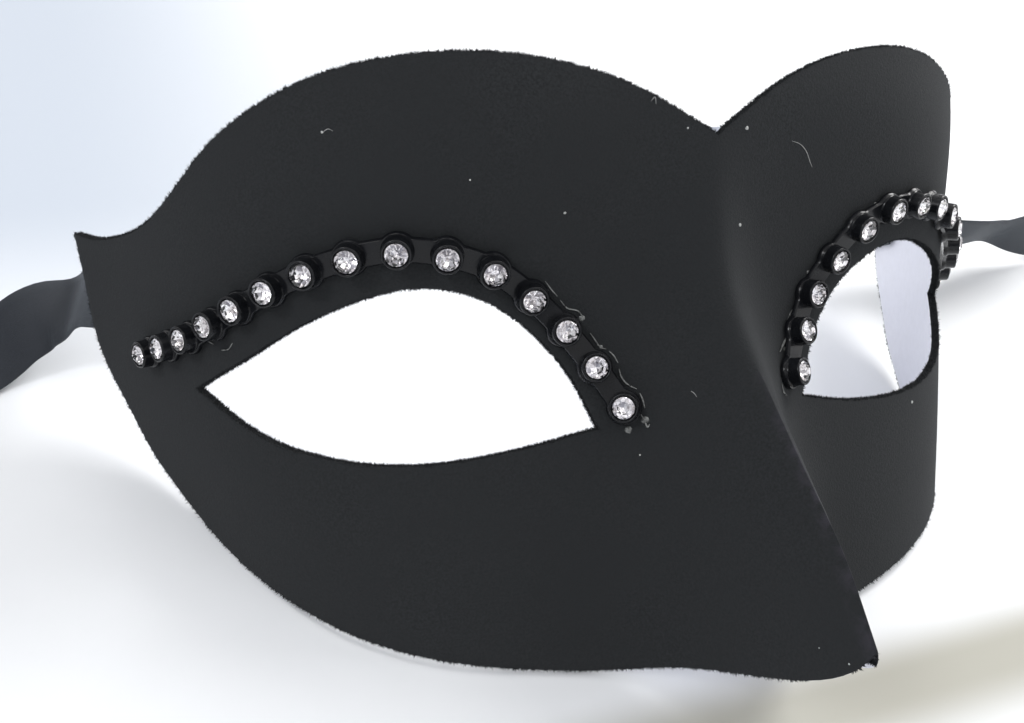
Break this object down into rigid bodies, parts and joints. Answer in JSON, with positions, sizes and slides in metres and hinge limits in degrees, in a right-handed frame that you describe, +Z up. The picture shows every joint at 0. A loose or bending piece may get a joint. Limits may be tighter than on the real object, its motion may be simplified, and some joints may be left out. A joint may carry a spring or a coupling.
{
  "type": "masquerade eye mask",
  "caption": "Curved half mask with eye holes and a projecting nose, cup-set stones over each eye hole and a ribbon tie at each side.",
  "frame": {"origin": "middle of the mask's underside on the surface it lies on", "axes": "+X towards the wearer's left, across the mask; -Y the way the face looks; +Z up from the surface"},
  "size_m": [0.4502, 0.1319, 0.0826],
  "materials": {
    "flock": "short black flock fibre coat on moulded plastic",
    "strip_plastic": "glossy black moulded plastic",
    "crystal": "clear cut stones with a silvered back",
    "ribbon_satin": "black satin weave with a soft sheen"
  },
  "bodies": {
    "root": {"mask_shell": "flock", "trim_strip_right": "strip_plastic", "trim_strip_left": "strip_plastic", "rhinestone_right_01": "crystal", "rhinestone_right_02": "crystal", "rhinestone_right_03": "crystal", "rhinestone_right_04": "crystal", "rhinestone_right_05": "crystal", "rhinestone_right_06": "crystal", "rhinestone_right_07": "crystal", "rhinestone_right_08": "crystal", "rhinestone_right_09": "crystal", "rhinestone_right_10": "crystal", "rhinestone_right_11": "crystal", "rhinestone_right_12": "crystal", "rhinestone_right_13": "crystal", "rhinestone_right_14": "crystal", "rhinestone_right_15": "crystal", "rhinestone_left_01": "crystal", "rhinestone_left_02": "crystal", "rhinestone_left_03": "crystal", "rhinestone_left_04": "crystal", "rhinestone_left_05": "crystal", "rhinestone_left_06": "crystal", "rhinestone_left_07": "crystal", "rhinestone_left_08": "crystal", "rhinestone_left_09": "crystal", "rhinestone_left_10": "crystal", "rhinestone_left_11": "crystal", "rhinestone_left_12": "crystal", "rhinestone_left_13": "crystal", "rhinestone_left_14": "crystal", "rhinestone_left_15": "crystal", "ribbon_right": "ribbon_satin", "ribbon_roll_right": "ribbon_satin", "ribbon_left": "ribbon_satin", "ribbon_roll_left": "ribbon_satin"}
  },
  "joints": []
}
